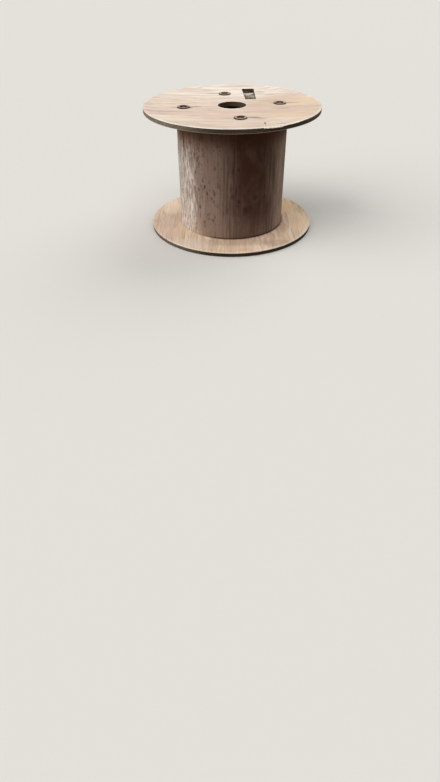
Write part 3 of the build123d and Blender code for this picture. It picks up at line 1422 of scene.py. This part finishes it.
@dataclass
class Flanges:
    """The two plywood flanges, and the frayed veneer on the rim and in the slot of the upper one.

    Sizes are in millimetres, azimuths and tilts in degrees. flap gives how far the torn flap hangs down at
    each of a few azimuths, and flap_root how far in and how deep its shreds start. lying_azimuths,
    lying_inset and splinter_depth are ranges. The slot's splinters are sparse up to dense_from.
    """

    radius: float = 250.0
    rim_height: float = 342.0
    flare: float = 3.0
    flare_start: float = 166.0
    strip_length: float = 20.0

    # The torn flap at the front right of the rim, and the shreds that lie near it
    flap: tuple[Pair, ...] = (
        (-72.6, 2.4),
        (-68.0, 3.2),
        (-63.0, 4.4),
        (-60.5, 2.8),
        (-57.0, 1.8),
        (-50.0, 1.4),
        (-43.0, 0.4),
    )
    flap_root: Pair = (0.6, 0.35)
    flap_tilt: float = 50.0
    flap_shreds: int = 62
    lying_shreds: int = 14
    lying_azimuths: Pair = (-75.0, -57.0)
    lying_inset: Pair = (3.0, 9.0)

    # The cable slot, and the splinters across it
    slot_right: float = 71.0
    slot_left: float = 39.0
    slot_inner_end: float = 65.0
    slot_length: float = 132.0
    slot_askew: float = 6.0
    splinters: int = 54
    splinter_root: float = 0.8
    splinter_depth: Pair = (6.0, 11.0)
    sparse_from: float = 84.0
    dense_from: float = 150.0
    dense_to: float = 194.0

    def build(
        self, top: Piece, bottom: Piece, upper: Finish, lower: Finish, torn: Finish, sawn: Finish
    ) -> None:
        """Dresses both flanges and adds the frayed veneer.

        Args:
            top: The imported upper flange.
            bottom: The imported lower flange.
            upper: The upper flange's finish.
            lower: The lower flange's finish.
            torn: The frayed veneer's finish.
            sawn: The finish of the splinters in the slot.
        """
        top.material_slots[0].material = upper.material()
        bottom.material_slots[0].material = lower.material()
        log.info("both flanges dressed")
        strips = Slivers(length=self.strip_length, width=2.6, thickness=0.6, bow=1.0, seed=7)
        chance = strips.chance
        frayed = (
            ("torn_veneer_shreds", torn, self.hanging(chance) + self.lying(chance)),
            ("slot_splinters", sawn, self.in_the_slot(chance)),
        )
        for name, finish, places in frayed:
            joined = strips.spread(places, finish, name)
            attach(joined, "root")

    def face_at(self, radius: float) -> float:
        """The height of the upper flange's face at a radius, both in millimetres."""
        outside = max(0.0, radius - self.flare_start) / (self.radius - self.flare_start)
        return self.rim_height - self.flare * (1 - outside**2)

    def hang_at(self, azimuth: float) -> float:
        """How far the torn flap hangs down at an azimuth, in millimetres.

        Args:
            azimuth: The place on the rim, in degrees.

        Returns:
            The depth between the flap's two nearest given ones.
        """
        for (low, first), (high, second) in zip(self.flap, self.flap[1:]):
            if azimuth <= high:
                return first + (azimuth - low) / (high - low) * (second - first)
        return self.flap[-1][1]

    def hanging(self, chance: random.Random) -> list[Matrix]:
        """Places the shreds that hang over the rim, side by side in one torn flap.

        Args:
            chance: Where their spread comes from.

        Returns:
            A placing for each shred.
        """
        inset, sunk = self.flap_root
        root = Matrix.Translation((0, (self.radius - inset) * MM, (self.rim_height - sunk) * MM))
        places = []
        for step in range(self.flap_shreds):
            share = step / (self.flap_shreds - 1)
            azimuth = self.flap[0][0] + share * (self.flap[-1][0] - self.flap[0][0])
            length = self.hang_at(azimuth) * chance.uniform(1.0, 1.3) + 0.8
            size = (chance.uniform(1.0, 1.3), 1.0, length / self.strip_length)
            places.append(
                Matrix.Rotation(math.radians(azimuth - 90), 4, "Z")
                @ root
                @ Matrix.Rotation(math.radians(self.flap_tilt + chance.gauss(0, 5)), 4, "X")
                @ Matrix.Rotation(math.pi + math.radians(chance.gauss(0, 6)), 4, "Y")
                @ Matrix.Diagonal((*size, 1))
            )
        return places

    def lying(self, chance: random.Random) -> list[Matrix]:
        """Places the shreds that lie along the grain near the rim and reach over it.

        Args:
            chance: Where their spread comes from.

        Returns:
            A placing for each shred.
        """
        places = []
        for _ in range(self.lying_shreds):
            azimuth = math.radians(chance.uniform(*self.lying_azimuths))
            radius = self.radius - chance.uniform(*self.lying_inset)
            start = (radius * math.cos(azimuth), radius * math.sin(azimuth), self.face_at(radius) + 0.1)
            size = (chance.uniform(0.4, 0.9), chance.uniform(0.3, 0.9), chance.uniform(0.45, 1.0))
            places.append(
                Matrix.Translation([v * MM for v in start])
                @ Matrix.Rotation(math.radians(chance.gauss(4, 7)), 4, "Z")
                @ LAID_ALONG_X
                @ Matrix.Diagonal((*size, 1))
            )
        return places

    def in_the_slot(self, chance: random.Random) -> list[Matrix]:
        """Places the splinters that the saw has left in the slot, near the underside, from both its sides.

        Args:
            chance: Where their spread comes from.

        Returns:
            A placing for each splinter.
        """
        places = []
        for number in range(self.splinters):
            sparse = number % 3 == 0
            stretch = (self.sparse_from, self.dense_from) if sparse else (self.dense_from, self.dense_to)
            y = chance.uniform(*stretch)
            left = self.slot_left - (y - self.slot_inner_end) / self.slot_length * self.slot_askew
            from_left = number % 2 == 0
            x = left - self.splinter_root if from_left else self.slot_right + self.splinter_root
            length = chance.uniform(0.2, 1.0) * 0.92 * (self.slot_right - left)
            start = (x, y, self.face_at(math.hypot(x, y)) - chance.uniform(*self.splinter_depth))
            size = (chance.uniform(0.5, 1.25), 0.5, length / self.strip_length)
            places.append(
                Matrix.Translation([v * MM for v in start])
                @ Matrix.Rotation(0 if from_left else math.pi, 4, "Z")
                @ Matrix.Rotation(math.radians(chance.gauss(0, 7)), 4, "Z")
                @ Matrix.Rotation(math.radians(chance.uniform(0, 8)), 4, "Y")
                @ LAID_ALONG_X
                @ Matrix.Diagonal((*size, 1))
            )
        return places


# ---------------------------------------------------------------------------------------------------------
# Light, ground and camera
# ---------------------------------------------------------------------------------------------------------


@dataclass
class Studio:
    """The ground, the light of a pale overcast sky, and the camera's place.

    Lengths are in metres and angles in degrees. A sun has a name, an azimuth, an elevation, a strength and
    the angle that it fills.
    """

    ground_half: float = 30.0

    # The camera's place and lens, from a fit to the photo's two flanges, bore and barrel
    camera_place: Point = (-0.0407, -1.6740, 0.7174)
    camera_tilt: float = 49.34
    camera_roll: float = -0.487
    camera_lens: float = 24.83
    camera_sees: Pair = (0.05, 200.0)

    # An overcast sky: a low even light, and more of it from the left, from high up and from behind
    sky_tone: str = "E6E4E0"
    sky_strength: float = 0.25
    sun_distance: float = 3.0
    suns: tuple[tuple[str, float, float, float, float], ...] = (
        ("left_sky", -163.0, 35.0, 2.0, 60.0),
        ("high_sky", -100.0, 68.0, 0.9, 60.0),
        ("back_sky", 50.0, 45.0, 1.0, 50.0),
    )

    def build(self) -> None:
        """Builds the camera, the lights and the ground."""
        bpy.context.scene.view_settings.view_transform = "Standard"
        self.camera()
        self.lights()
        self.sky()
        self.ground()
        log.info("studio ready")

    def camera(self) -> None:
        """Puts the camera where the photographer stood, tilted down towards the ground in front."""
        data = bpy.data.cameras.new("photographer")
        data.lens = self.camera_lens
        data.clip_start, data.clip_end = self.camera_sees
        camera = bpy.data.objects.new("photographer", data)
        bpy.context.scene.collection.objects.link(camera)
        camera.matrix_world = (
            Matrix.Translation(self.camera_place)
            @ Matrix.Rotation(math.radians(self.camera_tilt), 4, "X")
            @ Matrix.Rotation(math.radians(self.camera_roll), 4, "Z")
        )
        bpy.context.scene.camera = camera

    def lights(self) -> None:
        """Hangs each wide, soft light in its direction, and turns it to the drum."""
        for name, azimuth, elevation, strength, spread in self.suns:
            data = bpy.data.lights.new(name, "SUN")
            data.energy = strength
            data.angle = math.radians(spread)
            lamp = bpy.data.objects.new(name, data)
            a, e = math.radians(azimuth), math.radians(elevation)
            way = Vector((math.cos(a) * math.cos(e), math.sin(a) * math.cos(e), math.sin(e)))
            lamp.rotation_mode = "QUATERNION"
            lamp.rotation_quaternion = way.to_track_quat("Z", "Y")
            lamp.location = way * self.sun_distance
            bpy.context.scene.collection.objects.link(lamp)

    def sky(self) -> None:
        """Gives a low even light, and a pale ground of sky to whatever looks at it directly."""
        world = bpy.data.worlds.new("pale_sky")
        bpy.context.scene.world = world
        world.use_nodes = True
        tree = world.node_tree
        tree.nodes.clear()
        seen = seen_directly(tree)
        low = add_node(tree, "Background", {"Color": linear(self.sky_tone), "Strength": self.sky_strength})
        high = add_node(tree, "Background", {"Color": linear(self.sky_tone), "Strength": 1.0})
        mixed = add_node(tree, "MixShader", links={0: seen, 1: low.outputs[0], 2: high.outputs[0]})
        add_node(tree, "OutputWorld", links={0: mixed.outputs[0]})

    def ground(self) -> None:
        """Lays the ground: a wide sheet."""
        Bench.clear()
        bpy.ops.mesh.primitive_plane_add(size=2 * self.ground_half)
        sheet = bpy.context.object
        sheet.name = "ground"
        sheet.data.materials.append(PalePaper("pale_paper").material())


# ---------------------------------------------------------------------------------------------------------
# The drum
# ---------------------------------------------------------------------------------------------------------

# Broad tones that sun and rain have given the upper face, and painted light on its far side
SUN_AND_RAIN = (
    Stain(150, -20, 120, 120, 0.55, "D3B9A2", 0.0),
    Stain(10, -190, 170, 42, 0.45, "D6C6B0", 0.0),
    Stain(-60, -60, 130, 60, 0.3, "DAC6B6", 0.0),
    # Painted light: the far side of the face made paler
    Stain(-20, 195, 230, 90, 0.8, "F9F0E3", 0.0),
    Stain(-90, 105, 160, 90, 0.4, "F5EBDD", 0.0),
)

# Streaks that run from the bolts with the grain, scuffs and splits near the rim, and paler places
RUST_AT_THE_BOLTS = (
    Stain(-120, -25, 10, 5.0, 0.8, "5A4034", 0.3),
    Stain(70, -144, 13, 3.4, 0.5, "6A4E40", 0.5),
    Stain(168, 24, 21.8, 5.4, 0.85, "5A4033"),
    Stain(112, 20, 9.5, 8.2, 0.3, "A8806A"),
    Stain(133, -37, 28.6, 5.4, 0.55, "8A6A55"),
    Stain(54, -131, 19, 5.4, 0.75, "6B4D3F"),
    Stain(-12, -139, 16.3, 4.1, 0.55, "7C5C4B"),
    Stain(-102, -15, 17.7, 6.1, 0.7, "7A5A4B"),
    Stain(-160, -22, 10.9, 5.4, 0.55, "96725E"),
    Stain(-52, 139, 21.8, 6.1, 0.6, "8A6C5A"),
    Stain(-180, -64, 46, 3.2, 0.45, "8F6D5A"),
    Stain(-105, -186, 20.4, 4.1, 0.4, "9A7B68"),
    Stain(80, -192, 2.4, 12, 0.9, "33251C", 0.0),
    Stain(88, -173, 5.0, 2.4, 0.4, "5A483A"),
    Stain(117, -203, 8.5, 3.6, 0.85, "3A2A20", 0.45),
    Stain(131, -198, 12.0, 3.2, 0.75, "4A382C", 0.45),
    Stain(86, 152, 15, 17, 0.35, "A08470", 0.5),
    Stain(104, -196, 24, 14, 0.5, "DCD2C2", 0.4),
    Stain(150, -112, 70, 26, 0.55, "E6CFA9", 0.6),
    Stain(205, 36, 52, 44, 0.55, "E8D0AE", 0.6),
    Stain(205, -105, 17.7, 8.2, 0.35, "B9AE9C"),
    Stain(-185, 118, 34, 17.7, 0.4, "E4DDC4", 0.0),
    Stain(-40, -95, 81.6, 27.2, 0.35, "E2C2B2", 0.3),
    Stain(12, 150, 17.7, 20.4, 0.5, "F2EDDF", 0.0),
)

# Tones of the lower flange: paler at its rim, darker near the barrel, with a few knocks, and painted light
# on its right
WEAR_ON_THE_FOOT = (
    Stain(-176, -62, 2.7, 15, 0.6, "8D7158"),
    Stain(-154, -172, 6.8, 6.8, 0.5, "9C7A6A"),
    Stain(-180, -110, 23.1, 27.2, 0.5, "E3C4AF", 0.3),
    Stain(-135, -95, 6.8, 40.8, 0.4, "DFC9A0", 0.3),
    Stain(0, -178, 120, 24, 0.55, "B59C80", 0.3),
    Stain(0, -226, 130, 26, 0.38, "E6CBAE", 0.3),
    Stain(-130, -190, 60, 36, 0.6, "EDDACA", 0.3),
    Stain(-205, -20, 40, 60, 0.5, "C6B1A4", 0.3),
    Stain(34, -226, 16.3, 8.2, 0.5, "D9A585", 0.3),
    Stain(126, -140, 4.1, 20.4, 0.5, "A1835F"),
    Stain(160, -70, 12.2, 40.8, 0.45, "C2A08A"),
    # Painted light where the barrel's shadow falls on the right of the face
    Stain(212, -20, 34, 70, 0.7, "F7DEBC", 0.2),
    Stain(205, -40, 20.4, 40.8, 0.35, "E4BA8E", 0.3),
    Stain(215, -122, 9.5, 10.9, 0.5, "D9CFC2"),
    Stain(132, -186, 42, 22, 0.6, "AD937A", 0.3),
    Stain(184, 84, 32, 50, 0.75, "F6D1A8", 0.3),
    Stain(163, 11, 2.7, 20.4, 0.5, "94714F"),
    Stain(-60, 205, 40.8, 16.3, 0.4, "C8A98C"),
    Stain(-192, 96, 32, 60, 0.6, "F2E0C6", 0.3),
)

# The barrel's larger spots of mould, one by one
MOULD_SPOTS = (
    Mark(-137.5, 243, 3.4, 5.0),
    Mark(-147.0, 230, 3.6, 7.0, 0.6),
    Mark(-151.5, 214, 2.8, 7.0, 0.6),
    Mark(-128.5, 231, 2.8, 8.0),
    Mark(-127.5, 214, 2.6, 5.0, 0.5),
    Mark(-131.4, 197, 3.0, 6.0),
    Mark(-136.5, 168, 3.4, 5.0),
    Mark(-120.2, 160, 3.6, 5.0, 0.9),
    Mark(-117.4, 143, 3.2, 6.0, 0.8),
    Mark(-109.2, 143, 3.6, 6.0, 0.7),
    Mark(-112.5, 130, 2.8, 4.0, 0.6),
    Mark(-126.5, 99, 3.2, 6.0, 0.8),
    Mark(-126.3, 74, 2.8, 5.0, 0.5),
    Mark(-109.0, 76, 2.4, 5.0, 0.5),
    Mark(-95.5, 98, 3.6, 9.0, 0.5),
    Mark(-84.4, 214, 3.2, 6.0, 0.85),
    Mark(-89.6, 209, 2.8, 9.0, 0.6),
    Mark(-108.3, 214, 2.4, 4.0, 0.6),
    Mark(-101.7, 215, 2.4, 4.0, 0.4),
    Mark(-92.0, 162, 3.4, 12.0, 0.6),
    Mark(-90.2, 139, 5.0, 8.0, 0.6),
    Mark(-86.3, 153, 3.0, 6.0, 0.5),
    Mark(-83.5, 125, 4.2, 6.0, 0.9),
    Mark(-84.8, 112, 3.0, 5.0, 0.6),
    Mark(-77.0, 96, 7.0, 11.0, 0.7),
    Mark(-65.5, 131, 8.0, 8.0, 0.7),
    Mark(-53.5, 127, 5.0, 7.0, 0.6),
    Mark(-116.5, 68, 2.4, 8.0, 0.4),
    Mark(-121.0, 44, 2.8, 6.0, 0.5),
    Mark(-140.0, 150, 3.0, 7.0, 0.5),
    Mark(-145.0, 175, 2.6, 7.0, 0.45),
    Mark(-123.0, 289, 9.0, 8.0, 0.6),
    Mark(-146.5, 122, 3.0, 9.0, 0.45),
    Mark(-150.5, 98, 3.0, 8.0, 0.5),
    Mark(-142.5, 163, 3.2, 6.0, 0.6),
    Mark(-152.0, 74, 3.0, 9.0, 0.4),
    Mark(-133.0, 152, 3.0, 5.0, 0.6),
    Mark(-127.5, 150, 3.4, 5.0, 0.6),
    Mark(-125.0, 160, 2.6, 5.0, 0.5),
    Mark(-143.0, 205, 2.6, 9.0, 0.4),
    Mark(-115.0, 175, 2.8, 5.0, 0.35),
    Mark(-104.0, 165, 3.0, 7.0, 0.35),
    Mark(-106.0, 112, 3.0, 6.0, 0.35),
)


def main() -> None:
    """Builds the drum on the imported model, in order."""
    logging.basicConfig(level=logging.INFO, format="%(name)s: %(message)s", force=True)
    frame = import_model()
    nodes = frame["nodes"]

    Studio().build()
    Flanges().build(
        nodes["top_flange"],
        nodes["bottom_flange"],
        FacedPly("weathered_face_ply_upper", weather=SUN_AND_RAIN, stains=RUST_AT_THE_BOLTS),
        FacedPly(
            "weathered_face_ply_lower",
            grain=Axis.Y,
            pale="ECD7BF",
            blush="E2C8B3",
            shade="C4A283",
            # Darker sawn edges than the upper flange's: painted shade on the low rim
            edge_light="4A3B28",
            edge_dark="261C14",
            rain_washed="7A7062",
            face_height=12.0,
            wear_and_highlight=0.35,
            stains=WEAR_ON_THE_FOOT,
            shade_reach=(169.0, 161.5),
        ),
        TornWood("torn_face_veneer"),
        TornWood("greyed_splinters", pale="A89A87", warm="6E604D"),
    )
    Barrel().build(
        nodes["barrel"],
        BendingPly("greyed_bending_ply", marks=MOULD_SPOTS),
        TornWood("combed_out_fibre", pale="E0D8CC", warm="AFA396", grain=Axis.Z),
    )
    Fasteners().build(
        RustedSteel("rusted_pressed_steel"),
        RustedSteel(
            "dulled_nut_steel", zinc="54463B", rust="35261D", patch=4.0, shade_reach=(170.6, 167.6)
        ),
        RustedSteel(
            "dulled_threaded_steel", zinc="8A7A6A", rust="5A4234", patch=5.0, shade_reach=(168.6, 165.0)
        ),
    )


if __name__ == "__main__":
    main()
